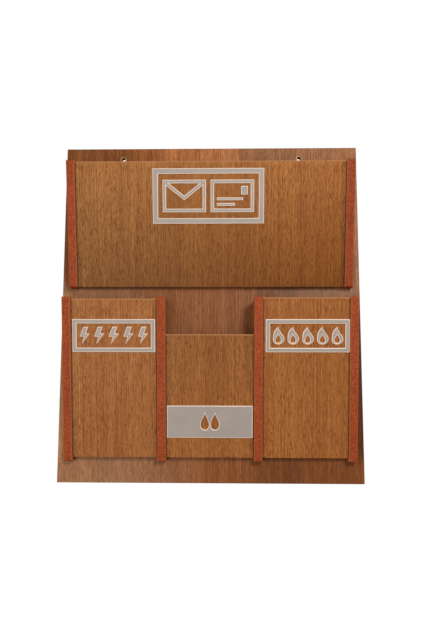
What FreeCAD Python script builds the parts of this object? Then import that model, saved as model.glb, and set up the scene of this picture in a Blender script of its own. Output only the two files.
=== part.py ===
# Wall-hung mail organizer: a board with one wide pocket above three narrow ones.
# Frame: X to the right, Y towards the wall, Z up. The wall lies at Y = 0, and the origin is
# on the wall, midway between the two hanging eyelets.
import FreeCAD, Part
import os
import re
import Sketcher

# Driving dimensions, in millimetres
SIZES = {
    # Back board: the pockets and these margins give its width and height
    "board_thickness": 8,
    "board_arris": 0.5,
    "side_margin": 11.5,
    "bottom_margin": 29,
    "row_gap": 18.5,
    "top_margin": 35,
    # Pockets: clear widths between cheeks, and heights of the cheeks
    "side_pocket_width": 110,
    "centre_pocket_width": 113,
    "lower_row_height": 208.5,
    "top_row_height": 162,
    # Cheeks: wedges, deep at the mouth and shallow at the foot
    "cheek_thickness": 11,
    "mouth_depth": 52,
    "foot_depth": 14,
    "cheek_arris": 1.2,
    "groove_depth": 3,
    "groove_clearance": 0.15,
    "cut_overrun": 10,
    # Front panels, measured along the slope of the cheeks' front edges
    "panel_thickness": 4,
    "panel_recess": 3.5,
    "panel_arris": 1.2,
    "lower_panel_rise": 4.5,
    "top_panel_drop": 2,
    "left_panel_drop": 3,
    "centre_panel_drop": 48.5,
    "right_panel_drop": 1.5,
    # Pocket floors
    "floor_height": 8,
    # Labels, glued on the panels. The frames' drops are measured from the tops of the cheeks.
    "label_thickness": 1.5,
    "label_arris": 0.8,
    "top_label_width": 146,
    "top_label_height": 71.5,
    "top_label_band": 7,
    "top_label_drop": 11.5,
    "top_label_shift": -2.5,
    "side_label_gap": 2,
    "right_label_gap": 0.4,
    "side_label_height": 42,
    "side_label_band": 5.5,
    "side_label_drop": 29,
    "plate_gap": 1.7,
    "plate_height": 41.5,
    "plate_rise": 26,
    # Hanging eyelets: diameters, the height of the lip, and how far the barrel stops short of the wall
    "eyelet_spacing": 242,
    "eyelet_drop": 15.7,
    "eyelet_bore": 4.8,
    "eyelet_barrel": 6,
    "eyelet_flange": 8.8,
    "eyelet_crest": 7,
    "eyelet_lip": 1,
    "eyelet_setback": 1,
    "eyelet_clearance": 0.05,
    # Countersunk screws through the board into the cheeks
    "screw_diameter": 3,
    "screw_head": 6,
    "screw_length": 20,
    "screw_tip": 3,
    "screw_sink": 0.3,
    "screw_clearance": 0.1,
}

# Heights of the two screws in a cheek, as shares of the cheek's height
SCREW_HEIGHT_SHARES = (0.3, 0.82)

# Angle of the screws' countersink, in degrees
COUNTERSINK_ANGLE = 90

# Formulas in the names above, shared by several pieces
POCKETS_WIDTH = "(2 * side_pocket_width + centre_pocket_width + 4 * cheek_thickness)"
BOARD_WIDTH = f"({POCKETS_WIDTH} + 2 * side_margin)"
BOARD_TOP = "eyelet_drop"
TOP_ROW_BOTTOM = f"({BOARD_TOP} - top_margin - top_row_height)"
LOWER_ROW_BOTTOM = f"({TOP_ROW_BOTTOM} - row_gap - lower_row_height)"
BOARD_BOTTOM = f"({LOWER_ROW_BOTTOM} - bottom_margin)"
TOP_POCKET_WIDTH = f"({POCKETS_WIDTH} - 2 * cheek_thickness)"

# Left faces of the cheeks
OUTER_LEFT = f"(-{POCKETS_WIDTH} / 2)"
INNER_LEFT = "(-centre_pocket_width / 2 - cheek_thickness)"
INNER_RIGHT = "(centre_pocket_width / 2)"
OUTER_RIGHT = f"({POCKETS_WIDTH} / 2 - cheek_thickness)"

# Middles of the pockets
SIDE_MIDDLE = "(centre_pocket_width / 2 + cheek_thickness + side_pocket_width / 2)"

# Rows of pockets: foot and height of their cheeks, and where panels and grooves start on the slope.
# The top row's grooves run out at the foot, and the lower row's stop there and carry the panels.
ROWS = {
    "top": {
        "bottom": TOP_ROW_BOTTOM,
        "height": "top_row_height",
        "panel_rise": "0",
        "groove_rise": "(-cut_overrun)",
    },
    "lower": {
        "bottom": LOWER_ROW_BOTTOM,
        "height": "lower_row_height",
        "panel_rise": "lower_panel_rise",
        "groove_rise": "lower_panel_rise",
    },
}

# Cheeks: row, left face, and which faces carry a groove
CHEEKS = {
    "top_left_cheek": ("top", OUTER_LEFT, ("right",)),
    "top_right_cheek": ("top", OUTER_RIGHT, ("left",)),
    "lower_outer_left_cheek": ("lower", OUTER_LEFT, ("right",)),
    "lower_inner_left_cheek": ("lower", INNER_LEFT, ("left", "right")),
    "lower_inner_right_cheek": ("lower", INNER_RIGHT, ("left", "right")),
    "lower_outer_right_cheek": ("lower", OUTER_RIGHT, ("left",)),
}

# Pockets: row, middle, clear width, and how far the panel stops below the cheeks
POCKETS = {
    "top": ("top", "0", TOP_POCKET_WIDTH, "top_panel_drop"),
    "left": ("lower", f"(-{SIDE_MIDDLE})", "side_pocket_width", "left_panel_drop"),
    "centre": ("lower", "0", "centre_pocket_width", "centre_panel_drop"),
    "right": ("lower", SIDE_MIDDLE, "side_pocket_width", "right_panel_drop"),
}

doc = FreeCAD.newDocument("mail_organizer")
sheet = doc.addObject("Spreadsheet::Sheet", "Sizes")
for row_number, (alias, size) in enumerate(SIZES.items(), start=1):
    sheet.set(f"A{row_number}", alias)
    sheet.set(f"B{row_number}", str(size))
    sheet.setAlias(f"B{row_number}", alias)
doc.recompute()

nodes = []


def in_sheet(formula):
    """The formula with each named size read from the sheet."""
    return re.sub(r"\b[a-z]+(?:_[a-z]+)+\b", lambda name: "Sizes." + name.group(0), formula)


def bind(thing, path, formula):
    thing.setExpression(path, in_sheet(formula))


def value(formula):
    """What a formula comes to now, as a plain number."""
    result = sheet.evalExpression(in_sheet(formula))
    return float(getattr(result, "Value", result))


# Geometry of the slope that a row's cheeks and panels share

def tilt(row):
    """Angle of the front edges from upright."""
    return f"atan((mouth_depth - foot_depth) / {ROWS[row]['height']})"


def slope_length(row):
    return f"({ROWS[row]['height']} / cos({tilt(row)}))"


def slope_point(row, along, inward):
    """Y and Z of a point that far up the front edge from its foot, and that far behind it."""
    y = f"(-board_thickness - foot_depth - ({along}) * sin({tilt(row)}) + ({inward}) * cos({tilt(row)}))"
    z = f"({ROWS[row]['bottom']} + ({along}) * cos({tilt(row)}) + ({inward}) * sin({tilt(row)}))"
    return y, z


def rise_below_top(row, drop):
    """How far above the foot of the row's panels a point lies, that far down from the tops of the cheeks."""
    return f"({slope_length(row)} - ({drop}) - {ROWS[row]['panel_rise']})"


def panel_height(pocket):
    row, _, _, drop = POCKETS[pocket]
    return rise_below_top(row, drop)


# Building blocks

def new_body(label):
    body = doc.addObject("PartDesign::Body", label)
    body.Label = label
    nodes.append(body)
    return body


def new_sketch(body, name, plane, offset="0"):
    """A sketch on one of the body's own planes, moved along the plane's normal."""
    sketch = body.newObject("Sketcher::SketchObject", f"{body.Name}_{name}")
    planes = {feature.Role: feature for feature in body.Origin.OriginFeatures}
    sketch.AttachmentSupport = [(planes[plane], "")]
    sketch.MapMode = "FlatFace"
    bind(sketch, "AttachmentOffset.Base.z", offset)
    return sketch


def pin_point(sketch, geometry, point, place):
    """Hold a point of the sketch at a place given by two formulas."""
    for kind, formula in zip(("DistanceX", "DistanceY"), place):
        held = Sketcher.Constraint(kind, -1, 1, geometry, point, value(formula))
        bind(sketch, f"Constraints[{sketch.addConstraint(held)}]", formula)


def add_polygon(sketch, corners):
    """A closed outline through corners given as pairs of formulas."""
    places = [FreeCAD.Vector(value(across), value(up), 0) for across, up in corners]
    lines = []
    for start, end in zip(places, places[1:] + places[:1]):
        lines.append(sketch.addGeometry(Part.LineSegment(start, end), False))
    for line, following in zip(lines, lines[1:] + lines[:1]):
        sketch.addConstraint(Sketcher.Constraint("Coincident", line, 2, following, 1))
    for line, corner in zip(lines, corners):
        pin_point(sketch, line, 1, corner)


def add_rectangle(sketch, left, right, low, high):
    add_polygon(sketch, [(left, low), (right, low), (right, high), (left, high)])


def add_circle(sketch, place, diameter):
    centre = FreeCAD.Vector(value(place[0]), value(place[1]), 0)
    circle = Part.Circle(centre, FreeCAD.Vector(0, 0, 1), value(diameter) / 2)
    geometry = sketch.addGeometry(circle, False)
    pin_point(sketch, geometry, 3, place)
    held = Sketcher.Constraint("Diameter", geometry, value(diameter))
    bind(sketch, f"Constraints[{sketch.addConstraint(held)}]", diameter)


def pad(body, sketch, length, backwards=False):
    feature = body.newObject("PartDesign::Pad", f"{sketch.Name}_pad")
    feature.Profile = sketch
    feature.Reversed = backwards
    bind(feature, "Length", length)
    doc.recompute()
    return feature


def check_cut(body, before, name):
    """A cut that misses the solid shows no error, so the volume has to drop."""
    if body.Shape.Volume >= before:
        raise RuntimeError(f"{name} cuts nothing")


def pocket_cut(body, sketch, depth=None, backwards=False):
    """Cut the sketch to a depth, or right through when none is given."""
    before = body.Shape.Volume
    feature = body.newObject("PartDesign::Pocket", f"{sketch.Name}_cut")
    feature.Profile = sketch
    feature.Reversed = backwards
    if depth is None:
        feature.Type = "ThroughAll"
    else:
        bind(feature, "Length", depth)
    doc.recompute()
    check_cut(body, before, feature.Name)
    return feature


def ease_edges(body, feature, size, wanted):
    """Chamfer the feature's edges that the test picks."""
    names = [f"Edge{i}" for i, edge in enumerate(feature.Shape.Edges, start=1) if wanted(edge)]
    if not names:
        raise RuntimeError(f"{feature.Name} has no edge to ease")
    easing = body.newObject("PartDesign::Chamfer", f"{feature.Name}_chamfer")
    easing.Base = (feature, names)
    bind(easing, "Size", size)
    doc.recompute()
    return easing


def at_y(depth):
    """A test for edges that lie all in the plane at this Y."""
    level = value(depth)
    return lambda edge: all(abs(vertex.Y - level) < Part.Precision.confusion() for vertex in edge.Vertexes)


def place_on_slope(body, row, middle, along, inward):
    """Stand a flat piece, drawn upright, on its row's slope."""
    y, z = slope_point(row, along, inward)
    body.Placement.Rotation = FreeCAD.Rotation(FreeCAD.Vector(1, 0, 0), value(tilt(row)))
    bind(body, "Placement.Base.x", middle)
    bind(body, "Placement.Base.y", y)
    bind(body, "Placement.Base.z", z)
    bind(body, "Placement.Rotation.Angle", tilt(row))


def screw_heights(row):
    return [f"({ROWS[row]['bottom']} + {share} * {ROWS[row]['height']})" for share in SCREW_HEIGHT_SHARES]


def screw_places():
    """X and Z of every screw: two on the middle line of each cheek."""
    for row, left_face, _ in CHEEKS.values():
        for height in screw_heights(row):
            yield f"({left_face} + cheek_thickness / 2)", height


# Back board

def make_board():
    body = new_body("back_board")
    outline = new_sketch(body, "outline", "XZ_Plane")
    add_rectangle(outline, f"-{BOARD_WIDTH} / 2", f"{BOARD_WIDTH} / 2", BOARD_BOTTOM, BOARD_TOP)
    plank = pad(body, outline, "board_thickness")
    ease_edges(body, plank, "board_arris", at_y("-board_thickness"))

    seats = new_sketch(body, "eyelet_seats", "XZ_Plane")
    for side in ("-", ""):
        add_circle(seats, (f"{side}eyelet_spacing / 2", "0"), "eyelet_barrel + 2 * eyelet_clearance")
    pocket_cut(body, seats, backwards=True)

    centres = new_sketch(body, "screw_centres", "XZ_Plane")
    for place in screw_places():
        add_circle(centres, place, "screw_diameter")
    doc.recompute()
    before = body.Shape.Volume
    holes = body.newObject("PartDesign::Hole", "screw_holes")
    holes.Profile = centres
    doc.recompute()
    holes.Reversed = True
    holes.DepthType = "ThroughAll"
    bind(holes, "Diameter", "screw_diameter + 2 * screw_clearance")
    holes.HoleCutType = "Countersink"
    holes.HoleCutCustomValues = True
    bind(holes, "HoleCutDiameter", "screw_head + 2 * screw_sink + 2 * screw_clearance")
    holes.HoleCutCountersinkAngle = COUNTERSINK_ANGLE
    doc.recompute()
    check_cut(body, before, holes.Name)


# Cheeks: a wedge with eased front edges, panel grooves and pilot holes

def make_cheek(label, row, left_face, grooved_faces):
    body = new_body(label)
    bottom = ROWS[row]["bottom"]
    top = f"({bottom} + {ROWS[row]['height']})"
    mouth = "(-board_thickness - mouth_depth)"
    foot = "(-board_thickness - foot_depth)"

    side = new_sketch(body, "side", "YZ_Plane")
    back = "-board_thickness"
    add_polygon(side, [(back, bottom), (back, top), (mouth, top), (foot, bottom)])
    wedge = pad(body, side, "cheek_thickness")
    front = max(wedge.Shape.Faces, key=lambda face: -face.CenterOfMass.y)
    front_keys = {edge.hashCode() for edge in front.Edges}
    ease_edges(body, wedge, "cheek_arris", lambda edge: edge.hashCode() in front_keys)

    near = "(panel_recess - groove_clearance)"
    far = "(panel_recess + panel_thickness + groove_clearance)"
    low = ROWS[row]["groove_rise"]
    high = f"({slope_length(row)} + cut_overrun)"
    band = [slope_point(row, low, near), slope_point(row, high, near)]
    band += [slope_point(row, high, far), slope_point(row, low, far)]
    for face in grooved_faces:
        on_left = face == "left"
        groove = new_sketch(body, f"{face}_groove", "YZ_Plane", "0" if on_left else "cheek_thickness")
        add_polygon(groove, band)
        pocket_cut(body, groove, "groove_depth", backwards=on_left)

    pilots = new_sketch(body, "pilots", "XZ_Plane", "board_thickness")
    for height in screw_heights(row):
        add_circle(pilots, ("cheek_thickness / 2", height), "screw_diameter + 2 * screw_clearance")
    pilot_depth = "screw_sink + screw_length - board_thickness + screw_clearance"
    pocket_cut(body, pilots, pilot_depth, backwards=True)
    bind(body, "Placement.Base.x", left_face)


# Front panels: thin sheets whose edges run in the cheeks' grooves

def make_panel(pocket):
    row, middle, clear_width, _ = POCKETS[pocket]
    body = new_body(f"{pocket}_front_panel")
    outline = new_sketch(body, "outline", "XZ_Plane")
    half = f"({clear_width} / 2 + groove_depth - groove_clearance)"
    add_rectangle(outline, f"-{half}", half, "0", panel_height(pocket))
    plain = pad(body, outline, "panel_thickness", backwards=True)
    in_front = at_y("0")
    top_edge = max(filter(in_front, plain.Shape.Edges), key=lambda edge: edge.CenterOfMass.z)
    ease_edges(body, plain, "panel_arris", top_edge.isSame)
    place_on_slope(body, row, middle, ROWS[row]["panel_rise"], "panel_recess")


# Pocket floors: battens between board and panel, with the panel's slope on their front

def make_floor(pocket):
    row, middle, clear_width, _ = POCKETS[pocket]
    body = new_body(f"{pocket}_pocket_floor")
    rise = ROWS[row]["panel_rise"]
    low = slope_point(row, rise, "panel_recess")[1]
    high = f"({low} + floor_height)"
    back_of_panel = "panel_recess + panel_thickness"

    def panel_back_at(height):
        run = f"({height} - {ROWS[row]['bottom']}) * tan({tilt(row)})"
        return f"(-board_thickness - foot_depth - {run} + ({back_of_panel}) / cos({tilt(row)}))"

    section = new_sketch(body, "section", "YZ_Plane")
    add_polygon(section, [("-board_thickness", low), ("-board_thickness", high),
                          (panel_back_at(high), high), (panel_back_at(low), low)])
    pad(body, section, clear_width)
    bind(body, "Placement.Base.x", f"{middle} - {clear_width} / 2")


# Labels: flat silver pieces on the panels' faces, with eased edges

def make_label(label, pocket, width, height, rise, shift="0", band=None):
    """A plate, or a frame when a band width is given, that far up its panel."""
    row, middle, _, _ = POCKETS[pocket]
    body = new_body(label)
    outline = new_sketch(body, "outline", "XZ_Plane")
    add_rectangle(outline, f"-{width} / 2", f"{width} / 2", "0", height)
    if band:
        inner = f"({width} / 2 - {band})"
        add_rectangle(outline, f"-{inner}", inner, band, f"{height} - {band}")
    plate = pad(body, outline, "label_thickness")
    ease_edges(body, plate, "label_arris", at_y("-label_thickness"))
    along = f"{ROWS[row]['panel_rise']} + {rise}"
    place_on_slope(body, row, f"{middle} + {shift}", along, "panel_recess")


def make_labels():
    top_rise = rise_below_top("top", "top_label_drop + top_label_height")
    make_label("top_label_frame", "top", "top_label_width", "top_label_height", top_rise,
               "top_label_shift", "top_label_band")
    side_rise = rise_below_top("lower", "side_label_drop + side_label_height")
    for pocket, shift in (("left", "0"), ("right", "(side_label_gap - right_label_gap)")):
        make_label(f"{pocket}_label_frame", pocket, "(side_pocket_width - 2 * side_label_gap)",
                   "side_label_height", side_rise, shift, "side_label_band")
    make_label("centre_label_plate", "centre", "(centre_pocket_width - 2 * plate_gap)",
               "plate_height", "plate_rise")


# Hanging eyelets: a barrel through the board, with a lip that slopes down to the board's face

def make_eyelet(label, x):
    body = new_body(label)
    profile = new_sketch(body, "profile", "YZ_Plane")
    lip = "(-board_thickness - eyelet_lip)"
    add_polygon(profile, [
        ("-eyelet_setback", "eyelet_bore / 2"),
        ("-eyelet_setback", "eyelet_barrel / 2"),
        ("-board_thickness", "eyelet_barrel / 2"),
        ("-board_thickness", "eyelet_flange / 2"),
        (lip, "eyelet_crest / 2"),
        (lip, "eyelet_bore / 2"),
    ])
    turned = body.newObject("PartDesign::Revolution", f"{label}_turned")
    turned.Profile = profile
    turned.ReferenceAxis = (profile, ["H_Axis"])
    turned.Angle = 360
    doc.recompute()
    bind(body, "Placement.Base.x", x)


# Screws: countersunk head, shank and point, driven from the back of the board

def make_screw(number, x, z):
    taper = f"((screw_head - screw_diameter) / 2 / tan({COUNTERSINK_ANGLE / 2}))"
    shank = f"(screw_length - {taper} - screw_tip)"
    head_cone = {"Radius1": "screw_head / 2", "Radius2": "screw_diameter / 2", "Height": taper}
    shank_rod = {"Radius": "screw_diameter / 2", "Height": shank}
    point_cone = {"Radius1": "screw_diameter / 2", "Radius2": "0", "Height": "screw_tip"}
    stages = [
        ("Part::Cone", "head", "0", head_cone),
        ("Part::Cylinder", "shank", taper, shank_rod),
        ("Part::Cone", "point", f"({taper} + {shank})", point_cone),
    ]
    pieces = []
    for kind, name, depth, dimensions in stages:
        stage = doc.addObject(kind, f"screw_{name}_{number}")
        stage.Placement.Rotation = FreeCAD.Rotation(FreeCAD.Vector(0, 0, 1), FreeCAD.Vector(0, -1, 0))
        for path, formula in dimensions.items():
            bind(stage, path, formula)
        bind(stage, "Placement.Base.x", x)
        bind(stage, "Placement.Base.y", f"-screw_sink - {depth}")
        bind(stage, "Placement.Base.z", z)
        pieces.append(stage)
    screw = doc.addObject("Part::MultiFuse", f"screw_{number}")
    screw.Shapes = pieces
    return screw


def make_screws():
    group = doc.addObject("Part::Compound", "cheek_screws")
    group.Label = "cheek_screws"
    group.Links = [make_screw(number, x, z) for number, (x, z) in enumerate(screw_places(), start=1)]
    nodes.append(group)


make_board()
for cheek_label, (cheek_row, cheek_left, cheek_faces) in CHEEKS.items():
    make_cheek(cheek_label, cheek_row, cheek_left, cheek_faces)
for pocket_name in POCKETS:
    make_panel(pocket_name)
    make_floor(pocket_name)
make_labels()
make_eyelet("left_hanging_eyelet", "-eyelet_spacing / 2")
make_eyelet("right_hanging_eyelet", "eyelet_spacing / 2")
make_screws()
doc.recompute()

# Every object has to be sound before anything is written
for thing in doc.Objects:
    if {"Invalid", "Error"} & set(thing.State):
        raise RuntimeError(f"{thing.Label} failed: {thing.State}")
for node in nodes:
    if node.Shape.isNull() or not node.Shape.isValid():
        raise RuntimeError(f"{node.Label} has no valid shape")

os.makedirs("parts", exist_ok=True)
for node in nodes:
    node.Shape.exportStep(f"parts/{node.Label}.step")
    box = node.Shape.BoundBox
    corners = " to ".join(
        f"({x:.2f}, {y:.2f}, {z:.2f})"
        for x, y, z in ((box.XMin, box.YMin, box.ZMin), (box.XMax, box.YMax, box.ZMax))
    )
    print(f"{node.Label}: {len(node.Shape.Solids)} solid, {node.Shape.Volume:.0f} mm3, {corners}")
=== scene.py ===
# Looks of the wall-hung mail organizer, in the part's own frame: X right, Y to the wall, Z up, in metres
import math

import bpy
from mathutils import Matrix, Vector
from mathutils.geometry import tessellate_polygon


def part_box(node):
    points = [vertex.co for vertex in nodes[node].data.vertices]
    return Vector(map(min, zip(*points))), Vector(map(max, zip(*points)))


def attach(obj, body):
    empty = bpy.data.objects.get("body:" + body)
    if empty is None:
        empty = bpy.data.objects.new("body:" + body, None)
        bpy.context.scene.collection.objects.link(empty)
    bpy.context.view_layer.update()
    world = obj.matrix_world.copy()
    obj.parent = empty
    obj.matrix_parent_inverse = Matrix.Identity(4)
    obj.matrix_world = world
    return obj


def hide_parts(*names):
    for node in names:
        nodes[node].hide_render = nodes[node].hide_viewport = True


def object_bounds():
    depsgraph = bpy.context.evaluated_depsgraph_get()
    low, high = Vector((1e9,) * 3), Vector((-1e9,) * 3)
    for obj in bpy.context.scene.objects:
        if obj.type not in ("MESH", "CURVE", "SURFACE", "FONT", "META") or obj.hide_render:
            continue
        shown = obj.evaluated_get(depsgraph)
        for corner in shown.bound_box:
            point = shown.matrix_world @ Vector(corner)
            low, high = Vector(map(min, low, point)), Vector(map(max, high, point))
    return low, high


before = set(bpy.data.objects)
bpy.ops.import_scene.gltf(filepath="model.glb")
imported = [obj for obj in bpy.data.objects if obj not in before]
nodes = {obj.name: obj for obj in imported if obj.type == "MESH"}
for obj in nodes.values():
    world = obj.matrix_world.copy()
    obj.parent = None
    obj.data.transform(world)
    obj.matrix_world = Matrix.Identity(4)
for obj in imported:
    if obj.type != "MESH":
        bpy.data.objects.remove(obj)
cad_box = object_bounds()

MM = 0.001

# Nodes that share a finish
CHEEKS = [name for name in nodes if name.endswith("_cheek")]
FLOORS = [name for name in nodes if name.endswith("_pocket_floor")]
FRAMES = [name for name in nodes if name.endswith("_label_frame")]
EYELETS = [name for name in nodes if name.endswith("_hanging_eyelet")]

# Directions on the object
RIGHT = Vector((1, 0, 0))
UP = Vector((0, 0, 1))
FORWARD = Vector((0, -1, 0))
BACKWARD = Vector((0, 1, 0))


# Materials

def colour(red, green, blue):
    """A colour as a picture editor shows it, in the linear values that shaders take."""
    shares = [channel / 255 for channel in (red, green, blue)]
    linear = [share / 12.92 if share <= 0.04045 else ((share + 0.055) / 1.055) ** 2.4 for share in shares]
    return (*linear, 1.0)


def grey(level):
    return (level, level, level, 1.0)


# White is also the tint that changes nothing
WHITE = grey(1.0)

# Where most values of a noise lie, and a narrower range that parts light from dark more sharply
NOISE_RANGE = (0.3, 0.7)
NOISE_CORE = (0.35, 0.65)

# How squarely a surface has to face a direction: not at all below the first, fully above the second
SQUARE_FACING = (0.4, 0.6)

# A grain so long that the noise hardly changes along that axis
ENDLESS = 1.0

# How many streak lengths the starts of neighbouring streaks are spread over
STREAK_STARTS = 12

# How far red, green and blue swing with the grain of wood
GRAIN_SHARES = (1.0, 1.3, 1.75)


class Finish:
    """One procedural material, with short ways to add and join its nodes."""

    def __init__(self, name, specular, metallic=0.0):
        self.material = bpy.data.materials.new(name)
        self.material.use_nodes = True
        self.tree = self.material.node_tree
        self.shader = self.tree.nodes["Principled BSDF"]
        self.shader.inputs["Specular IOR Level"].default_value = specular
        self.shader.inputs["Metallic"].default_value = metallic
        coordinates = self.tree.nodes.new("ShaderNodeTexCoord")
        self.place = coordinates.outputs["Object"]
        self.normal = coordinates.outputs["Normal"]

    def put(self, socket, value):
        """Link a socket to another one, or set it to a plain value."""
        if isinstance(value, bpy.types.NodeSocket):
            self.tree.links.new(value, socket)
        else:
            socket.default_value = value

    def node(self, kind, inputs, **settings):
        made = self.tree.nodes.new(kind)
        for setting, value in settings.items():
            setattr(made, setting, value)
        for name, value in inputs.items():
            self.put(made.inputs[name], value)
        return made

    def math(self, operation, *values):
        made = self.node("ShaderNodeMath", {}, operation=operation)
        for socket, value in zip(made.inputs, values):
            self.put(socket, value)
        return made.outputs["Value"]

    def spread(self, value, low, high, at_low, at_high):
        """The value's stretch from low to high, drawn out to at_low to at_high and held there."""
        inputs = {"Value": value, "From Min": low, "From Max": high, "To Min": at_low, "To Max": at_high}
        return self.node("ShaderNodeMapRange", inputs).outputs["Result"]

    def axis(self, vector, letter):
        return self.node("ShaderNodeSeparateXYZ", {"Vector": vector}).outputs[letter]

    def along(self, letter, low, high, at_low, at_high):
        """A number that goes evenly from one value to another between two places on an axis."""
        return self.spread(self.axis(self.place, letter), low, high, at_low, at_high)

    def beyond(self, letter, start):
        """1 past a place on an axis, and 0 before it."""
        return self.math("GREATER_THAN", self.axis(self.place, letter), start)

    def distance(self, letter, start):
        """How far the surface lies from a place on an axis, on either side."""
        return self.math("ABSOLUTE", self.math("SUBTRACT", self.axis(self.place, letter), start))

    def facing(self, direction):
        """How squarely the surface faces a direction, 1 where it faces it fully."""
        made = self.node("ShaderNodeVectorMath", {}, operation="DOT_PRODUCT")
        self.put(made.inputs[0], self.normal)
        self.put(made.inputs[1], direction)
        return made.outputs["Value"]

    def noise(self, grain_size, detail=2.0, shift=0.0, place=None):
        """Noise from 0 to 1, whose grains are about this large along X, Y and Z."""
        scale = [1 / size for size in grain_size]
        layout = {"Vector": place or self.place, "Scale": scale, "Location": [shift] * 3}
        placed = self.node("ShaderNodeMapping", layout).outputs["Vector"]
        texture = self.node("ShaderNodeTexNoise", {"Vector": placed, "Scale": 1.0, "Detail": detail})
        return texture.outputs["Fac"]

    def streaks(self, width, length, shift):
        """Noise in streaks that run up the object, each started at a height of its own."""
        starts = self.noise((width, ENDLESS, ENDLESS), detail=1.0, shift=shift)
        raised = self.math("MULTIPLY", starts, STREAK_STARTS * length)
        height = self.math("ADD", self.axis(self.place, "Z"), raised)
        place = self.node("ShaderNodeCombineXYZ", {"X": self.axis(self.place, "X"), "Z": height})
        return self.noise((width, ENDLESS, length), shift=shift, place=place.outputs["Vector"])

    def blend(self, share, first, second, mode="MIX"):
        made = self.node("ShaderNodeMix", {"Factor": share}, data_type="RGBA", blend_type=mode)
        colours = {socket.identifier: socket for socket in made.inputs}
        self.put(colours["A_Color"], first)
        self.put(colours["B_Color"], second)
        return next(socket for socket in made.outputs if socket.identifier == "Result_Color")

    def tinted(self, base, tint):
        """The colour times a tint, or times a number that makes it darker or lighter."""
        return self.blend(1.0, base, tint, "MULTIPLY")

    def grained(self, base, grain, depth):
        """The colour, darker and redder where the grain is low, lighter and greyer where it is high."""
        dark, light = ([1 + side * depth * share for share in GRAIN_SHARES] + [1.0] for side in (-1, 1))
        return self.tinted(base, self.blend(self.spread(grain, *NOISE_RANGE, 0, 1), dark, light))

    def join(self, base, roughness, height, relief):
        """Join colour, roughness and relief to the shader."""
        self.put(self.shader.inputs["Base Color"], base)
        self.put(self.shader.inputs["Roughness"], roughness)
        bump = self.node("ShaderNodeBump", {"Height": height, "Distance": relief, "Strength": 1.0})
        self.put(self.shader.inputs["Normal"], bump.outputs["Normal"])
        return self.material


# Veneer of the fronts: orange brown, with fine streaks and short dark pores along the grain, under painted
# light and shade
FRONT_LIGHT = colour(186, 119, 58)
FRONT_DARK = colour(173, 107, 50)
FRONT_PORE = colour(104, 44, 6)
FRONT_EDGE_HIGHLIGHT = colour(200, 140, 92)
FRONT_ROUGHNESS = (0.4, 0.6)
FIGURE_WIDTH = 30 * MM
FIGURE_LENGTH = 900 * MM
STREAK_WIDTH = 0.65 * MM
STREAK_LENGTH = 120 * MM
STREAK_DEPTH = 0.34
PORE_WIDTH = 0.7 * MM
PORE_LENGTH = 4 * MM
PORE_LEVELS = (0.51, 0.64)
PORE_SHARE = 0.96
PORE_RELIEF = -0.06 * MM
JOINT_HALF_WIDTH = 0.6 * MM
JOINT_TONE = 0.72
# Painted shadow in the slit where each front meets a cheek, and painted shade on the front beside it
SEAM_SHADOW_WIDTH = 2 * MM
SEAM_SHADOW_TONE = 0.25
SHADE_WIDTH = 9 * MM
# Faces that look up are lighter: partly the raw cut edge, partly a painted highlight
TOP_EDGE_FACING = (0.2, 0.45)
TOP_EDGE_SHARE = 0.7

# What each front has of its own, as front_veneer takes it: the tones, the top front's tints and the shades
# are painted light and shade
FRONT_LOOKS = {
    "top": {
        "cheeks": ("top_left_cheek", "top_right_cheek"),
        "tones": ((0.52, 0.48, 0.35, 1.0), (0.945, 0.975, 1.05, 1.0)),
        "tints": ((1.13, 1.23, 1.34, 1.0), (1.07, 0.95, 0.56, 1.0)),
        "middle_tone": 0.9,
        "shades": (0.86, 0.66),
        "shift": 2.3,
        "joints": (10.7 * MM, 60 * MM),
    },
    "left": {
        "cheeks": ("lower_outer_left_cheek", "lower_inner_left_cheek"),
        "tones": (grey(0.92), grey(0.95)),
        "tints": ((1.0, 1.0, 1.16, 1.0), (1.0, 1.0, 1.16, 1.0)),
        "shades": (0.86, 0.8),
        "shift": 5.3,
    },
    "centre": {
        "cheeks": ("lower_inner_left_cheek", "lower_inner_right_cheek"),
        "tones": (grey(0.9), grey(0.72)),
        "tints": ((1.0, 0.99, 1.02, 1.0), (1.0, 0.99, 1.02, 1.0)),
        "shades": (0.86, 0.8),
        "shift": 9.3,
    },
    "right": {
        "cheeks": ("lower_inner_right_cheek", "lower_outer_right_cheek"),
        "tones": (grey(0.95), grey(0.88)),
        "tints": ((1.0, 0.95, 0.97, 1.0), (1.0, 0.95, 0.97, 1.0)),
        "shades": (0.86, 0.86),
        "shift": 14.3,
    },
}


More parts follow.
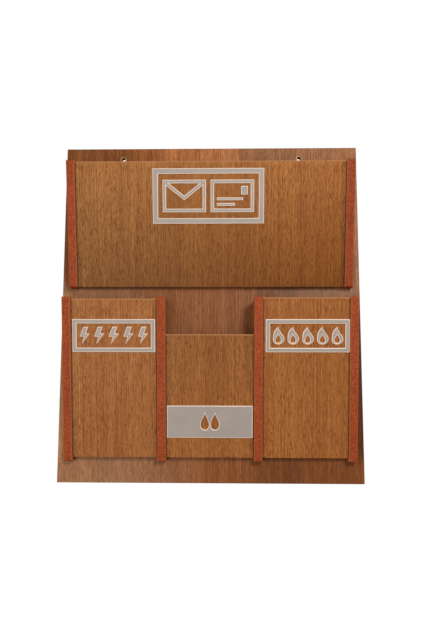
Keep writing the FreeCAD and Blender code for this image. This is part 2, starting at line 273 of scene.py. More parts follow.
def front_veneer(pocket, cheeks, tones, tints, shades, shift, middle_tone=1.0, joints=()):
    """Veneer of the front between two cheeks, with its noise moved by a shift and joints at places along X.

    Tones are at the foot and the top, tints at the left and the right, and shades beside the two cheeks.
    The tones paint light and shade from foot to top, and on the top front the tints paint a sheen, lighter
    and greyer towards its left.
    """
    wood = Finish(f"{pocket}_front_veneer", specular=0.15)
    left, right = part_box(cheeks[0])[1].x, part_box(cheeks[1])[0].x
    middle = (left + right) / 2
    foot, top = (corner.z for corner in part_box(f"{pocket}_front_panel"))
    figure = wood.streaks(FIGURE_WIDTH, FIGURE_LENGTH, shift)
    streak = wood.streaks(STREAK_WIDTH, STREAK_LENGTH, shift)
    pores = wood.spread(wood.streaks(PORE_WIDTH, PORE_LENGTH, shift), *PORE_LEVELS, 0, 1)
    base = wood.blend(wood.spread(figure, *NOISE_CORE, 0, 1), FRONT_LIGHT, FRONT_DARK)
    # On the top front this is a painted sheen, lighter and greyer towards the left
    base = wood.tinted(base, wood.blend(wood.along("X", left, right, 0, 1), *tints))
    base = wood.tinted(base, wood.spread(wood.distance("X", middle), 0, right - middle, middle_tone, 1))
    base = wood.grained(base, streak, STREAK_DEPTH)
    base = wood.blend(wood.math("MULTIPLY", pores, PORE_SHARE), base, FRONT_PORE)
    for joint in joints:
        base = wood.tinted(base, wood.spread(wood.distance("X", joint), 0, JOINT_HALF_WIDTH, JOINT_TONE, 1))
    # Painted shadow and shade beside each cheek
    for side, inner, shade in zip((left, right), (1, -1), shades):
        base = wood.tinted(base, wood.along("X", side, side + inner * SEAM_SHADOW_WIDTH, SEAM_SHADOW_TONE, 1))
        base = wood.tinted(base, wood.along("X", side, side + inner * SHADE_WIDTH, shade, 1))
    # Painted light and shade from foot to top
    base = wood.tinted(base, wood.blend(wood.along("Z", foot, top, 0, 1), *tones))
    # Painted highlight, with some raw cut edge, on the faces that look up
    top_edge_highlight = wood.spread(wood.facing(UP), *TOP_EDGE_FACING, 0, TOP_EDGE_SHARE)
    base = wood.blend(top_edge_highlight, base, FRONT_EDGE_HIGHLIGHT)
    return wood.join(base, wood.spread(pores, 0, 1, *FRONT_ROUGHNESS), pores, PORE_RELIEF)


# Veneer of the board: redder and greyer, with long straight lines and short flecks, and a darker top rim
BOARD_LIGHT = colour(174, 108, 60)
BOARD_DARK = colour(158, 95, 50)
BOARD_LINE = colour(96, 46, 18)
# Grey tan of the board's painted sheen, and of the greyer ends of the gap
BOARD_GREYED = colour(167, 129, 96)
BOARD_RIM = colour(110, 60, 40)
BOARD_ROUGHNESS = (0.38, 0.52)
BOARD_SHIFT = 0.3
BAND_WIDTH = 38 * MM
BAND_LENGTH = 1500 * MM
BAND_LEVELS = (0.38, 0.62)
BAND_SHIFT = 3.7
LINE_WIDTH = 0.8 * MM
LINE_LENGTH = 120 * MM
LINE_LEVELS = (0.4, 0.7)
LINE_SHARE = 0.76
LINE_RELIEF = -0.04 * MM
FLECK_WIDTH = 0.75 * MM
FLECK_LENGTH = 5 * MM
FLECK_DEPTH = 0.43
RIM_WIDTH = 1 * MM
RIM_SHARE = 0.6

# Painted light over the whole board: lighter with a grey painted sheen towards two of its corners, darker
# and warm towards the others, warmer at the foot
CORNER_TONE = 0.28
MIDDLE_TONE = 0.95
CORNER_FULL = 0.5
SHEEN_SHARE = 0.44
WARM_TINT = (1.0, 0.92, 0.72, 1.0)
FOOT_TINT = (1.0, 0.95, 0.85, 1.0)
TOP_TINT = (1.0, 1.06, 1.22, 1.0)

# Leaves of the board: where each starts, the first outside it, and the tones at its foot, middle and top;
# the leaves differ in tone of their own, and the changes up each leaf are painted light and shade
DARK_LEAF = 60 * MM
LEAVES = (
    (-300 * MM, 0.95, 0.95, 1.02),
    (-108 * MM, 0.95, 0.97, 1.28),
    (-64 * MM, 0.87, 0.89, 1.7),
    (39 * MM, 0.77, 0.84, 1.08),
    (DARK_LEAF, 0.65, 0.64, 0.9),
    (94 * MM, 0.54, 0.54, 0.88),
    (118 * MM, 0.74, 0.78, 1.1),
)

# Painted light and shade on the board's margins, each beside an outer cheek: lighter and greyer beside the
# lower left and top right cheeks, a painted shadow beside the lower right one
MARGIN_WIDTH = 14 * MM
MARGIN_LIGHT_AND_SHADE = {
    "lower_outer_left_cheek": (2.7, 3.4, 3.7, 1.0),
    "lower_outer_right_cheek": (0.31, 0.18, 0.08, 1.0),
    "top_right_cheek": (1.6, 2.0, 2.9, 1.0),
}

# Greyer ends of the strip between the two rows of pockets, measured from the middle
GAP_GREYED_SHARE = 0.36
GAP_GREYED_FROM = 60 * MM
GAP_GREYED_FULL = 130 * MM

# Plain fibreboard behind
BOARD_BACK = colour(150, 116, 82)
FIBRE_GRAIN = (2.5 * MM, 2.5 * MM, 2.5 * MM)
FIBRE_TONES = (0.78, 1.18)
BACK_CLOUD_GRAIN = (45 * MM, 45 * MM, 70 * MM)
BACK_CLOUD_TONES = (0.9, 1.1)


def corner_share(wood):
    """Above zero towards the board's left foot and right top, where its painted sheen lies, below zero
    towards its other corners.
    """
    low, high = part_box("back_board")
    sidewards = wood.along("X", low.x, DARK_LEAF, -1, DARK_LEAF / high.x)
    upwards = wood.along("Z", low.z, high.z, -1, 1)
    return wood.math("MULTIPLY", sidewards, upwards)


def leaf_tone(wood):
    """The tone of the leaf at each place: even up to the lower pockets, and then changing twice upwards, as
    painted light and shade.
    """
    lower_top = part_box("lower_outer_left_cheek")[1].z
    upper_foot, upper_top = (corner.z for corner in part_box("top_left_cheek"))
    gap = upper_foot - lower_top
    tone = WHITE
    for start, foot, middle, top in LEAVES:
        rising = wood.along("Z", lower_top - gap, upper_foot, foot / middle, 1)
        leaf = wood.math("MULTIPLY", rising, wood.along("Z", upper_foot, upper_top, middle, top))
        tone = wood.blend(wood.beyond("X", start), tone, leaf)
    return tone


def margin(wood, cheek):
    """Where a margin's painted light and shade lie: highest on the board's front, at its edge beside an
    outer cheek.
    """
    low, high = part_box("back_board")
    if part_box(cheek)[0].x < 0:
        near = wood.along("X", low.x, low.x + MARGIN_WIDTH, 1, 0)
    else:
        near = wood.along("X", high.x - MARGIN_WIDTH, high.x, 0, 1)
    foot, top = (corner.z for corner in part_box(cheek))
    above = wood.along("Z", foot - MARGIN_WIDTH, foot + MARGIN_WIDTH, 0, 1)
    below = wood.along("Z", top, top + MARGIN_WIDTH, 1, 0)
    in_front = wood.spread(wood.facing(FORWARD), *SQUARE_FACING, 0, 1)
    beside = wood.math("MULTIPLY", near, wood.math("MULTIPLY", above, below))
    return wood.math("MULTIPLY", in_front, beside)


def gap_ends(wood):
    """A share that is highest at both ends of the strip between the two rows of pockets."""
    low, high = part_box("lower_outer_left_cheek")[1].z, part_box("top_left_cheek")[0].z
    gap = high - low
    above = wood.along("Z", low - gap, low, 0, 1)
    below = wood.along("Z", high, high + gap, 1, 0)
    ends = wood.spread(wood.distance("X", 0), GAP_GREYED_FROM, GAP_GREYED_FULL, 0, GAP_GREYED_SHARE)
    return wood.math("MULTIPLY", ends, wood.math("MULTIPLY", above, below))


def board_back(wood):
    fibre = wood.noise(FIBRE_GRAIN, detail=4.0)
    cloud = wood.noise(BACK_CLOUD_GRAIN, detail=3.0)
    base = wood.tinted(BOARD_BACK, wood.spread(fibre, *NOISE_RANGE, *FIBRE_TONES))
    return wood.tinted(base, wood.spread(cloud, *NOISE_RANGE, *BACK_CLOUD_TONES))


def board_veneer():
    wood = Finish("board_veneer", specular=0.12)
    low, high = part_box("back_board")
    corner = corner_share(wood)
    band = wood.streaks(BAND_WIDTH, BAND_LENGTH, BAND_SHIFT)
    lines = wood.spread(wood.streaks(LINE_WIDTH, LINE_LENGTH, BOARD_SHIFT), *LINE_LEVELS, 0, 1)
    fleck = wood.streaks(FLECK_WIDTH, FLECK_LENGTH, BOARD_SHIFT)
    base = wood.blend(wood.spread(band, *BAND_LEVELS, 0, 1), BOARD_LIGHT, BOARD_DARK)
    # Painted light: lighter towards the sheen's corners, darker towards the others
    base = wood.tinted(base, wood.math("ADD", wood.math("MULTIPLY", corner, CORNER_TONE), MIDDLE_TONE))
    # The leaves' own tones, with painted light and shade up each leaf
    base = wood.tinted(base, leaf_tone(wood))
    base = wood.tinted(base, wood.blend(wood.spread(corner, -CORNER_FULL, 0, 1, 0), WHITE, WARM_TINT))
    base = wood.tinted(base, wood.blend(wood.along("Z", low.z, high.z, 0, 1), FOOT_TINT, TOP_TINT))
    # Painted light and shade on the margins beside the outer cheeks
    for cheek, tint in MARGIN_LIGHT_AND_SHADE.items():
        base = wood.tinted(base, wood.blend(margin(wood, cheek), WHITE, tint))
    base = wood.blend(wood.math("MULTIPLY", lines, LINE_SHARE), base, BOARD_LINE)
    # Painted sheen, greyer towards the left foot and the right top
    base = wood.blend(wood.spread(corner, 0, CORNER_FULL, 0, SHEEN_SHARE), base, BOARD_GREYED)
    base = wood.blend(gap_ends(wood), base, BOARD_GREYED)
    base = wood.grained(base, fleck, FLECK_DEPTH)
    base = wood.blend(wood.along("Z", high.z - RIM_WIDTH, high.z, 0, RIM_SHARE), base, BOARD_RIM)
    behind = wood.spread(wood.facing(BACKWARD), *SQUARE_FACING, 0, 1)
    base = wood.blend(behind, base, board_back(wood))
    return wood.join(base, wood.spread(lines, 0, 1, *BOARD_ROUGHNESS), lines, LINE_RELIEF)


# Cheeks: red stain on the edges of the board, with a painted highlight on the eased arrises, and brown
# veneer on the sides
CHEEK_RED = colour(182, 86, 46)
CHEEK_DEEP = colour(134, 56, 30)
CHEEK_EASED_HIGHLIGHT = colour(194, 110, 70)
CHEEK_SIDE = colour(176, 122, 70)
CHEEK_SIDE_DARK = colour(142, 94, 52)
CHEEK_ROUGHNESS = (0.5, 0.65)
SPECK_GRAIN = (2.2 * MM, 2.2 * MM, 2.2 * MM)
SPECK_LEVELS = (0.32, 0.68)
SPECK_RELIEF = 0.05 * MM
STAIN_CLOUD_GRAIN = (14 * MM, 14 * MM, 30 * MM)
STAIN_CLOUD_TONES = (0.93, 1.07)
# Painted shade on the top right cheek, which stands nearest a lamp
UPPER_RIGHT_SHADE = 0.88
UPPER_RIGHT_REACH = 1 * MM
SIDE_GRAIN = (ENDLESS, 1.2 * MM, 60 * MM)
SIDE_FACING = (0.9, 0.98)
EASED_FACING = (0.3, 0.5)
EASED_END_FACING = (0.8, 0.95)
EASED_SHARE = 0.6


def upper_right_shade_share(wood):
    """1 on the top right cheek, where its stain gets painted shade, and 0 on the others."""
    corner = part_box("top_right_cheek")[0]
    right = wood.beyond("X", corner.x - UPPER_RIGHT_REACH)
    upper = wood.beyond("Z", corner.z - UPPER_RIGHT_REACH)
    return wood.math("MULTIPLY", right, upper)


def stained_cheek():
    wood = Finish("stained_cheek", specular=0.08)
    speck = wood.noise(SPECK_GRAIN, detail=3.0)
    cloud = wood.noise(STAIN_CLOUD_GRAIN)
    base = wood.blend(wood.spread(speck, *SPECK_LEVELS, 0, 1), CHEEK_RED, CHEEK_DEEP)
    base = wood.tinted(base, wood.spread(cloud, *NOISE_RANGE, *STAIN_CLOUD_TONES))
    # Painted shade on the top right cheek
    base = wood.tinted(base, wood.blend(upper_right_shade_share(wood), WHITE, grey(UPPER_RIGHT_SHADE)))
    sideways = wood.math("ABSOLUTE", wood.axis(wood.normal, "X"))
    # Painted highlight on the eased arrises of the red edges
    leaning = wood.spread(sideways, *EASED_FACING, 0, EASED_SHARE)
    not_upright = wood.spread(sideways, *EASED_END_FACING, 1, 0)
    base = wood.blend(wood.math("MULTIPLY", leaning, not_upright), base, CHEEK_EASED_HIGHLIGHT)
    grain = wood.noise(SIDE_GRAIN)
    veneer = wood.blend(wood.spread(grain, *NOISE_CORE, 0, 1), CHEEK_SIDE, CHEEK_SIDE_DARK)
    base = wood.blend(wood.spread(sideways, *SIDE_FACING, 0, 1), base, veneer)
    return wood.join(base, wood.spread(speck, *NOISE_RANGE, *CHEEK_ROUGHNESS), speck, SPECK_RELIEF)


# Pocket floors: plain batten
BATTEN_LIGHT = colour(150, 104, 62)
BATTEN_DARK = colour(122, 80, 44)
BATTEN_ROUGHNESS = (0.55, 0.7)
BATTEN_GRAIN = (60 * MM, 2 * MM, 2 * MM)
BATTEN_RELIEF = 0.05 * MM


def floor_batten():
    wood = Finish("floor_batten", specular=0.2)
    grain = wood.noise(BATTEN_GRAIN, detail=3.0)
    base = wood.blend(wood.spread(grain, *NOISE_RANGE, 0, 1), BATTEN_LIGHT, BATTEN_DARK)
    return wood.join(base, wood.spread(grain, *NOISE_RANGE, *BATTEN_ROUGHNESS), grain, BATTEN_RELIEF)


# Silver labels: satin faces that lean down a little, with brighter bevels, partly a lighter cut edge and
# partly a painted highlight
SILVER = colour(169, 156, 146)
SILVER_BEVEL_HIGHLIGHT = colour(236, 214, 194)
SILVER_ROUGHNESS = (0.42, 0.52)
SILVER_CLOUD_GRAIN = (20 * MM, 20 * MM, 20 * MM)
SILVER_CLOUD_TONES = (0.96, 1.04)
BRUSH_GRAIN = (18 * MM, 0.5 * MM, 0.5 * MM)
BRUSH_TONES = (0.97, 1.03)
BRUSH_RELIEF = 0.01 * MM
LABEL_LEAN = math.radians(11.5)
LABEL_FACING = Vector((0, -math.cos(LABEL_LEAN), -math.sin(LABEL_LEAN)))
BEVEL_FACING = (0.95, 0.985)


def silver_label():
    sheet = Finish("silver_label", specular=0.12, metallic=0.08)
    cloud = sheet.noise(SILVER_CLOUD_GRAIN, detail=3.0)
    brush = sheet.noise(BRUSH_GRAIN)
    base = sheet.tinted(SILVER, sheet.spread(cloud, *NOISE_RANGE, *SILVER_CLOUD_TONES))
    base = sheet.tinted(base, sheet.spread(brush, *NOISE_RANGE, *BRUSH_TONES))
    # Bevels lighter: partly the cut edge, partly a painted highlight
    bevel = sheet.spread(sheet.facing(LABEL_FACING), *BEVEL_FACING, 1, 0)
    base = sheet.blend(bevel, base, SILVER_BEVEL_HIGHLIGHT)
    return sheet.join(base, sheet.spread(brush, *NOISE_RANGE, *SILVER_ROUGHNESS), brush, BRUSH_RELIEF)


# Metals: worn brass of the eyelets, with painted shade inside the bore, and zinc of the screws, with
# painted shade on their recess walls and shanks
BRASS = colour(176, 138, 98)
BRASS_WORN = colour(134, 100, 66)
BRASS_SHADED = colour(78, 38, 16)
ZINC = colour(176, 170, 158)
ZINC_WORN = colour(136, 130, 122)
ZINC_SHADED = colour(70, 66, 60)
METAL_ROUGHNESS = (0.32, 0.48)
WEAR_GRAIN = (1.5 * MM, 1.5 * MM, 1.5 * MM)
WEAR_RELIEF = 0.01 * MM
DARK_FACING = (0.1, 0.5)


def worn_metal(name, bright, worn, dark, front):
    """Metal that is worn in spots, with painted shade on faces that stand square to its front."""
    metal = Finish(name, specular=0.5, metallic=1.0)
    metal.shader.inputs["Specular Tint"].default_value = worn
    wear = metal.noise(WEAR_GRAIN, detail=3.0)
    base = metal.blend(metal.spread(wear, *NOISE_CORE, 0, 1), bright, worn)
    # Painted shade on faces that stand square to the front, as in a bore or recess
    base = metal.blend(metal.spread(metal.facing(front), *DARK_FACING, 1, 0), base, dark)
    return metal.join(base, metal.spread(wear, *NOISE_RANGE, *METAL_ROUGHNESS), wear, WEAR_RELIEF)


SILVER_FINISH = silver_label()
BRASS_FINISH = worn_metal("eyelet_brass", BRASS, BRASS_WORN, BRASS_SHADED, FORWARD)
ZINC_FINISH = worn_metal("screw_steel", ZINC, ZINC_WORN, ZINC_SHADED, BACKWARD)


def dress(names, material):
    """Give CAD nodes a finish."""
    for name in names:
        nodes[name].data.materials.clear()
        nodes[name].data.materials.append(material)


# Meshes of the added pieces

class Shell:
    """Points and faces of one piece, collected before its mesh is made."""

    def __init__(self):
        self.points = []
        self.faces = []

    def loop(self, points):
        """Add a closed loop of points and return their numbers."""
        start = len(self.points)
        self.points += [Vector(point) for point in points]
        return list(range(start, len(self.points)))

    def wall(self, lower, upper):
        """Faces between two loops of equal count."""
        for here, (a, b) in enumerate(zip(lower, upper)):
            after = (here + 1) % len(lower)
            self.faces.append((a, lower[after], upper[after], b))

    def cap(self, loops, outwards):
        """Triangles that fill the first loop, leaving the others open as holes."""
        numbers = [number for loop in loops for number in loop]
        outlines = [[self.points[number] for number in loop] for loop in loops]
        for corners in tessellate_polygon(outlines):
            face = [numbers[corner] for corner in corners]
            a, b, c = (self.points[number] for number in face)
            if (b - a).cross(c - a).dot(outwards) < 0:
                face.reverse()
            self.faces.append(tuple(face))

    def add_copy(self, other, place):
        """Add the points and faces of another shell, standing where the place matrix says."""
        start = len(self.points)
        self.points += [place @ point for point in other.points]
        self.faces += [tuple(number + start for number in face) for face in other.faces]

    def piece(self, name, place, material):
        """Make the mesh object, standing where the place matrix says, and hang it on the part."""
        mesh = bpy.data.meshes.new(name)
        mesh.from_pydata([place @ point for point in self.points], [], self.faces)
        mesh.materials.append(material)
        mesh.validate()
        made = bpy.data.objects.new(name, mesh)
        bpy.context.scene.collection.objects.link(made)
        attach(made, "root")
        return made


# Flat outlines, as lists of points on the XY plane

def rectangle(left, right, low, high):
    return [(left, low), (right, low), (right, high), (left, high)]


def middled(width, height):
    """A rectangle about the origin."""
    return rectangle(-width / 2, width / 2, -height / 2, height / 2)


def shifted(outline, across, up=0.0):
    return [(x + across, y + up) for x, y in outline]


def raised(outline, height):
    return [(x, y, height) for x, y in outline]


def area_of(outline):
    """Area of a flat outline, positive where it runs anticlockwise."""
    pairs = zip(outline, outline[1:] + outline[:1])
    return sum(a[0] * b[1] - b[0] * a[1] for a, b in pairs) / 2


def turned(outline, anticlockwise):
    return outline if (area_of(outline) > 0) == anticlockwise else outline[::-1]


# The least cosine between an edge's normal and its corner's, so that a sharp corner moves in only so far
LEAST_CORNER_COSINE = 0.35


def inset(outline, distance):
    """The outline moved to its left, corner by corner."""
    moved = []
    for before, here, after in zip(outline[-1:] + outline[:-1], outline, outline[1:] + outline[:1]):
        into = (Vector(here) - Vector(before)).normalized()
        onward = (Vector(after) - Vector(here)).normalized()
        bisector = (into + onward).normalized()
        left = Vector((-bisector.y, bisector.x))
        reach = distance / max(left.dot(Vector((-into.y, into.x))), LEAST_CORNER_COSINE)
        moved.append(tuple(Vector(here) + left * reach))
    return moved


# Bevelled sheet that the labels are cut from
OUT = Vector((0, 0, 1))
BEVEL_WIDTH = 0.9 * MM
BEVEL_DEPTH = 0.35 * MM


def add_relief(shell, outline, holes, thickness):
    """A flat piece on the XY plane with flat bevels along its front edges, round its holes too."""
    outlines = [turned(outline, True)] + [turned(hole, False) for hole in holes]
    feet, crests = [], []
    for flat in outlines:
        foot = shell.loop(raised(flat, 0))
        shoulder = shell.loop(raised(flat, thickness - BEVEL_DEPTH))
        crest = shell.loop(raised(inset(flat, BEVEL_WIDTH), thickness))
        shell.wall(foot, shoulder)
        shell.wall(shoulder, crest)
        feet.append(foot)
        crests.append(crest)
    shell.cap(feet, -OUT)
    shell.cap(crests, OUT)


# Labels: silver frames, a plate and pictures, all of the part's own thickness

class Label:
    """Where a label lies: its middle on the panel's face, its width, height, thickness and opening."""

    def __init__(self, node):
        mesh = nodes[node].data
        face = max(mesh.polygons, key=lambda polygon: polygon.normal.dot(FORWARD) * polygon.area)
        out = face.normal.copy()
        up = out.cross(RIGHT).normalized()
        spots = [(v.co.dot(RIGHT), v.co.dot(up), v.co.dot(out)) for v in mesh.vertices]
        low = [min(values) for values in zip(*spots)]
        high = [max(values) for values in zip(*spots)]
        self.width, self.height, self.thickness = (b - a for a, b in zip(low, high))
        across, above = (low[0] + high[0]) / 2, (low[1] + high[1]) / 2
        self.open_width = 2 * min(abs(spot[0] - across) for spot in spots)
        self.open_height = 2 * min(abs(spot[1] - above) for spot in spots)
        middle = RIGHT * across + up * above + out * low[2]
        axes = Matrix((RIGHT, up, out)).transposed().to_4x4()
        self.place = Matrix.Translation(middle) @ axes


def make_frame(node):
    label = Label(node)
    shell = Shell()
    opening = middled(label.open_width, label.open_height)
    add_relief(shell, middled(label.width, label.height), [opening], label.thickness)
    made = shell.piece(f"{node}_bevelled", label.place, SILVER_FINISH)
    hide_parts(node)


# Two envelopes in the top frame: one from behind with its flap, one from the front with stamp and address
ENVELOPE_WIDTH = 57 * MM
ENVELOPE_HEIGHT = 42 * MM
ENVELOPE_GAP = 6 * MM
ENVELOPE_STROKE = 4.6 * MM
FLAP_SHARE = 0.56
STAMP_WIDTH = 9 * MM
STAMP_HEIGHT = 11 * MM
ADDRESS_STROKE = 3.6 * MM
ADDRESS_STEP = 7.2 * MM
ADDRESS_LENGTH_SHARES = (0.72, 0.5)

# Half the inside of an envelope's outer stroke, across and up
INSIDE_HALF = ENVELOPE_WIDTH / 2 - ENVELOPE_STROKE
INSIDE_TOP = ENVELOPE_HEIGHT / 2 - ENVELOPE_STROKE


def add_envelope_back(shell, label, across):
    """An envelope with a flap, cut open above and below the flap's stroke."""
    point = ENVELOPE_HEIGHT / 2 - FLAP_SHARE * ENVELOPE_HEIGHT
    drop = INSIDE_TOP - point
    lift = ENVELOPE_STROKE / 2 * math.hypot(INSIDE_HALF, drop) / INSIDE_HALF
    corner = INSIDE_HALF - lift * INSIDE_HALF / drop
    flap = [(-corner, INSIDE_TOP), (corner, INSIDE_TOP), (0, point + lift)]
    slope = [(-INSIDE_HALF, INSIDE_TOP - lift), (0, point - lift), (INSIDE_HALF, INSIDE_TOP - lift)]
    below = slope + [(INSIDE_HALF, -INSIDE_TOP), (-INSIDE_HALF, -INSIDE_TOP)]
    outline = middled(ENVELOPE_WIDTH, ENVELOPE_HEIGHT)
    holes = [shifted(flap, across), shifted(below, across)]
    add_relief(shell, shifted(outline, across), holes, label.thickness)


def add_envelope_front(shell, label, across):
    """An envelope with a stamp at its upper right and lines of address at its lower left."""
    outline = middled(ENVELOPE_WIDTH, ENVELOPE_HEIGHT)
    inside = middled(2 * INSIDE_HALF, 2 * INSIDE_TOP)
    add_relief(shell, shifted(outline, across), [shifted(inside, across)], label.thickness)
    side, top = INSIDE_HALF - ADDRESS_STROKE, INSIDE_TOP - ADDRESS_STROKE
    stamp = rectangle(side - STAMP_WIDTH, side, top - STAMP_HEIGHT, top)
    add_relief(shell, shifted(stamp, across), [], label.thickness)
    for number, share in enumerate(reversed(ADDRESS_LENGTH_SHARES)):
        low = number * ADDRESS_STEP - top
        line = rectangle(-side, share * 2 * INSIDE_HALF - side, low, low + ADDRESS_STROKE)
        add_relief(shell, shifted(line, across), [], label.thickness)


def make_top_sign():
    label = Label("top_label_frame")
    shell = Shell()
    step = (ENVELOPE_WIDTH + ENVELOPE_GAP) / 2
    add_envelope_back(shell, label, -step)
    add_envelope_front(shell, label, step)
    shell.piece("top_sign_envelopes", label.place, SILVER_FINISH)


# Rows of pictures in the side frames: lightning on the left, flames on the right
SIGN_COUNT = 5
SIGN_STEP = 18.6 * MM
SIGN_HEIGHT = 22.5 * MM
BOLT_WIDTH = 14 * MM
BOLT_SHARES = (
    (-0.12, 0.5), (-0.46, -0.06), (-0.08, -0.06), (-0.28, -0.5), (0.46, 0.12), (0.1, 0.12), (0.34, 0.5),
)
FLAME_WIDTH = 14.5 * MM
FLAME_POINTS = 40
FLAME_SHARPNESS = 1.2
FLAME_SWAY_SHARE = 0.12
FLAME_HOLE_SHARE = 0.46
FLAME_HOLE_DROP_SHARE = 0.17


def tear(width, height, points, sharpness):
    """A drop with its tip on top: the turn's cosine goes up, a sine that fades at the tip goes across."""
    turns = [2 * math.pi * number / points for number in range(points)]
    across = [math.sin(turn) * math.sin(turn / 2) ** sharpness for turn in turns]
    widest = max(across)
    return [(-width / 2 * a / widest, height / 2 * math.cos(turn)) for a, turn in zip(across, turns)]


def sway(outline, height, reach):
    """Lean the upper part of a flame to one side and its tip back again."""
    leaning = []
    for x, y in outline:
        share = y / height + 0.5
        leaning.append((x + reach * share * math.sin(2 * math.pi * share), y))
    return leaning


def add_bolt(shell, label, across):
    bolt = [(x * BOLT_WIDTH, y * SIGN_HEIGHT) for x, y in BOLT_SHARES]
    add_relief(shell, shifted(bolt, across), [], label.thickness)


def add_flame(shell, label, across):
    upright = tear(FLAME_WIDTH, SIGN_HEIGHT, FLAME_POINTS, FLAME_SHARPNESS)
    flame = sway(upright, SIGN_HEIGHT, FLAME_SWAY_SHARE * FLAME_WIDTH)
    small = [(x * FLAME_HOLE_SHARE, y * FLAME_HOLE_SHARE) for x, y in upright]
    hole = shifted(small, across, -FLAME_HOLE_DROP_SHARE * SIGN_HEIGHT)
    add_relief(shell, shifted(flame, across), [hole], label.thickness)


def make_side_sign(name, node, add_picture):
    label = Label(node)
    shell = Shell()
    for number in range(SIGN_COUNT):
        add_picture(shell, label, (number - (SIGN_COUNT - 1) / 2) * SIGN_STEP)
    shell.piece(name, label.place, SILVER_FINISH)


# Two water drops cut through the centre plate
DROP_WIDTH = 10.5 * MM
DROP_HEIGHT = 20.5 * MM
DROP_STEP = 13 * MM
DROP_POINTS = 48
DROP_SHARPNESS = 1.4


def make_plate():
    label = Label("centre_label_plate")
    shell = Shell()
    outline = middled(label.width, label.height)
    drop = tear(DROP_WIDTH, DROP_HEIGHT, DROP_POINTS, DROP_SHARPNESS)
    holes = [shifted(drop, side * DROP_STEP / 2) for side in (-1, 1)]
    add_relief(shell, outline, holes, label.thickness)
    plate = shell.piece("centre_plate_with_drops", label.place, SILVER_FINISH)
    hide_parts("centre_label_plate")


# Round pieces
TURN_POINTS = 48


def circle(radius):
    turns = [2 * math.pi * number / TURN_POINTS for number in range(TURN_POINTS)]
    return [(radius * math.cos(turn), radius * math.sin(turn)) for turn in turns]


# Eyelets: a rolled lip of half-oval section, on the barrel that the part's own eyelet has
EYELET_BORE_RADIUS = 2.4 * MM
EYELET_BARREL_RADIUS = 3 * MM
LIP_STEPS = 10


def eyelet_section(flange_radius, front, board_face, back):
    """Radii and depths round the wall of an eyelet, from the bore's back end over the lip to the barrel."""
    middle = (flange_radius + EYELET_BORE_RADIUS) / 2
    half = (flange_radius - EYELET_BORE_RADIUS) / 2
    section = [(EYELET_BORE_RADIUS, back)]
    for step in range(LIP_STEPS + 1):
        turn = math.pi * step / LIP_STEPS
        section.append((middle - half * math.cos(turn), board_face - (board_face - front) * math.sin(turn)))
    return section + [(EYELET_BARREL_RADIUS, board_face), (EYELET_BARREL_RADIUS, back)]


def make_eyelet(node):
    low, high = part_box(node)
    centre = (low + high) / 2
    shell = Shell()
    loops = []
    for radius, depth in eyelet_section((high.x - low.x) / 2, low.y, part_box("back_board")[0].y, high.y):
        loops.append(shell.loop((centre.x + x, depth, centre.z + z) for x, z in circle(radius)))
    for here, after in zip(loops, loops[1:] + loops[:1]):
        shell.wall(here, after)
    eyelet = shell.piece(f"{node}_rolled", Matrix.Identity(4), BRASS_FINISH)
    eyelet.data.shade_smooth()
    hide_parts(node)


# Screws behind the board: countersunk, with a cross recess in the head
SCREW_HEAD = 6 * MM
SCREW_SHANK = 3 * MM
SCREW_LENGTH = 20 * MM
SCREW_TIP = 3 * MM
SCREW_POINT = 0.2 * MM
CROSS_REACH = 1.9 * MM
CROSS_WIDTH = 0.9 * MM
CROSS_DEPTH = 1.2 * MM
CROSS_FLOOR_SHARE = 0.6

# Corners this near the rearmost one, and this near each other, belong to one head's face
HEAD_FACE_DEPTH = 0.6 * MM
HEAD_REACH = 6.9 * MM

# Turns a screw that stands along Z so that its head's face looks back, along Y
FACING_BACK = Matrix(((-1, 0, 0), (0, 0, 1), (0, 1, 0))).transposed().to_4x4()


def cross(reach, width):
    """Outline of a cross whose arms lie along both axes."""
    half = width / 2
    arm = [(half, half), (half, reach), (-half, reach)]
    outline = []
    for quarter in range(4):
        turn = Matrix.Rotation(math.pi / 2 * quarter, 2)
        outline += [tuple(turn @ Vector(corner)) for corner in arm]
    return outline


def screw_shell():
    """One screw along Z, with its head's face at zero and its point below."""
    shell = Shell()
    taper = (SCREW_HEAD - SCREW_SHANK) / 2
    section = [
        (SCREW_POINT, -SCREW_LENGTH),
        (SCREW_SHANK, SCREW_TIP - SCREW_LENGTH),
        (SCREW_SHANK, -taper),
        (SCREW_HEAD, 0),
    ]
    rings = [shell.loop(raised(circle(across / 2), height)) for across, height in section]
    for lower, upper in zip(rings, rings[1:]):
        shell.wall(lower, upper)
    shell.cap(rings[:1], -OUT)
    mouth = turned(cross(CROSS_REACH, CROSS_WIDTH), False)
    floor = [(x * CROSS_FLOOR_SHARE, y * CROSS_FLOOR_SHARE) for x, y in mouth]
    recess = shell.loop(raised(mouth, 0))
    bottom = shell.loop(raised(floor, -CROSS_DEPTH))
    shell.wall(bottom, recess)
    shell.cap([bottom], OUT)
    shell.cap([rings[-1], recess], OUT)
    return shell


def head_centres():
    """Middle of each screw head's face, from the corners of the part's own screws."""
    corners = [vertex.co for vertex in nodes["cheek_screws"].data.vertices]
    back = max(corner.y for corner in corners)
    heads = []
    for corner in corners:
        if back - corner.y > HEAD_FACE_DEPTH:
            continue
        same = [head for head in heads if (head[0] - corner).length < HEAD_REACH]
        if same:
            same[0].append(corner)
        else:
            heads.append([corner])
    boxes = [[Vector(side(values) for values in zip(*head)) for side in (min, max)] for head in heads]
    return [(low + high) / 2 for low, high in boxes]


def make_screws():
    one = screw_shell()
    shell = Shell()
    for centre in head_centres():
        shell.add_copy(one, Matrix.Translation(centre) @ FACING_BACK)
    screws = shell.piece("cheek_screws_with_cross", Matrix.Identity(4), ZINC_FINISH)
    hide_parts("cheek_screws")


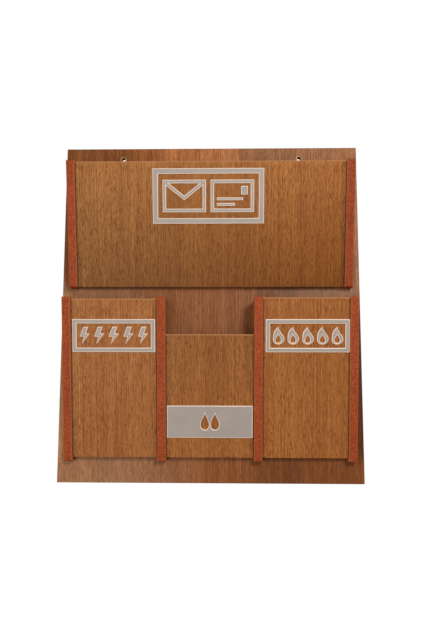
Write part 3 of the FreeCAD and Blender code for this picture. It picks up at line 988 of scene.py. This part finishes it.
# Studio: a pale floor far below, as under a thing that hangs on a wall, white surroundings and soft lights
FLOOR_DROP = 1.2
FLOOR_REACH = 20.0
FLOOR_PALE = grey(0.4)
FLOOR_LIFT = 0.9
SURROUND_LEVEL = 0.28
SEEN_LEVEL = 1.0
LIGHT_AIM = Vector((0, 0, -0.21))

# Each light's place, size and power
LIGHTS = {
    "upper_right_light": ((0.34, -1.0, 0.06), 0.3, 5.65),
    "left_light": ((-0.4, -1.04, -0.42), 0.8, 4.2),
    "back_light": ((0.2, 1.2, 0.1), 0.8, 10.0),
}


def seen_directly(tree):
    """1 for rays that show the background as it is: from the camera, in a reflection or through glass."""
    path = tree.nodes.new("ShaderNodeLightPath")
    seen = path.outputs["Is Camera Ray"]
    for other in ("Is Glossy Ray", "Is Transmission Ray"):
        either = tree.nodes.new("ShaderNodeMath")
        either.operation = "MAXIMUM"
        tree.links.new(seen, either.inputs[0])
        tree.links.new(path.outputs[other], either.inputs[1])
        seen = either.outputs["Value"]
    return seen


def floor_finish():
    """A pale floor that takes shadows, lifted towards white where it is seen."""
    material = bpy.data.materials.new("floor_pale")
    material.use_nodes = True
    tree = material.node_tree
    tree.nodes.clear()
    lit = tree.nodes.new("ShaderNodeBsdfDiffuse")
    lit.inputs["Color"].default_value = FLOOR_PALE
    lift = tree.nodes.new("ShaderNodeMath")
    lift.operation = "MULTIPLY"
    tree.links.new(seen_directly(tree), lift.inputs[0])
    lift.inputs[1].default_value = FLOOR_LIFT
    glow = tree.nodes.new("ShaderNodeEmission")
    glow.inputs["Color"].default_value = WHITE
    tree.links.new(lift.outputs["Value"], glow.inputs["Strength"])
    both = tree.nodes.new("ShaderNodeAddShader")
    tree.links.new(lit.outputs["BSDF"], both.inputs[0])
    tree.links.new(glow.outputs["Emission"], both.inputs[1])
    output = tree.nodes.new("ShaderNodeOutputMaterial")
    tree.links.new(both.outputs["Shader"], output.inputs["Surface"])
    return material


def make_floor():
    level = cad_box[0].z - FLOOR_DROP
    corners = middled(2 * FLOOR_REACH, 2 * FLOOR_REACH)
    mesh = bpy.data.meshes.new("floor")
    mesh.from_pydata(raised(corners, level), [], [(0, 1, 2, 3)])
    mesh.materials.append(floor_finish())
    floor = bpy.data.objects.new("floor", mesh)
    bpy.context.scene.collection.objects.link(floor)


def make_world():
    """Soft light from all round, from surroundings that look white where they are seen."""
    world = bpy.data.worlds.new("surroundings")
    world.use_nodes = True
    bpy.context.scene.world = world
    tree = world.node_tree
    tree.nodes.clear()
    mix = tree.nodes.new("ShaderNodeMixShader")
    tree.links.new(seen_directly(tree), mix.inputs["Fac"])
    for level, socket in zip((SURROUND_LEVEL, SEEN_LEVEL), mix.inputs[1:]):
        background = tree.nodes.new("ShaderNodeBackground")
        background.inputs["Color"].default_value = WHITE
        background.inputs["Strength"].default_value = level
        tree.links.new(background.outputs["Background"], socket)
    output = tree.nodes.new("ShaderNodeOutputWorld")
    tree.links.new(mix.outputs["Shader"], output.inputs["Surface"])


def make_light(name, place, size, power):
    lamp = bpy.data.lights.new(name, "AREA")
    lamp.shape = "DISK"
    lamp.size = size
    lamp.energy = power
    light = bpy.data.objects.new(name, lamp)
    light.location = place
    light.rotation_euler = (LIGHT_AIM - Vector(place)).to_track_quat("-Z", "Y").to_euler()
    bpy.context.scene.collection.objects.link(light)


# Camera: a little below the middle, looking up at it
CAMERA_PLACE = Vector((18.3, -834.2, -319.6)) * MM
CAMERA_AIM = Vector((0, -8, -217.7)) * MM
CAMERA_ROLL = math.radians(0.17)
CAMERA_LENS = 35.41


def make_camera():
    camera = bpy.data.objects.new("camera", bpy.data.cameras.new("camera"))
    camera.data.lens = CAMERA_LENS
    looking = (CAMERA_AIM - CAMERA_PLACE).to_track_quat("-Z", "Y").to_matrix().to_4x4()
    roll = Matrix.Rotation(CAMERA_ROLL, 4, "Z")
    camera.matrix_world = Matrix.Translation(CAMERA_PLACE) @ looking @ roll
    bpy.context.scene.collection.objects.link(camera)
    bpy.context.scene.camera = camera


# Finishes of the part's own pieces
dress(["back_board"], board_veneer())
for pocket, looks in FRONT_LOOKS.items():
    dress([f"{pocket}_front_panel"], front_veneer(pocket, **looks))
dress(CHEEKS, stained_cheek())
dress(FLOORS, floor_batten())
dress(FRAMES + ["centre_label_plate"], SILVER_FINISH)
dress(EYELETS, BRASS_FINISH)
dress(["cheek_screws"], ZINC_FINISH)

# Added pieces
for eyelet_name in EYELETS:
    make_eyelet(eyelet_name)
make_screws()
for frame_name in FRAMES:
    make_frame(frame_name)
make_top_sign()
make_side_sign("left_sign_bolts", "left_label_frame", add_bolt)
make_side_sign("right_sign_flames", "right_label_frame", add_flame)
make_plate()

# Surroundings and camera
make_floor()
make_world()
for light_name, (light_place, light_size, light_power) in LIGHTS.items():
    make_light(light_name, light_place, light_size, light_power)
make_camera()
bpy.context.scene.view_settings.view_transform = "Standard"
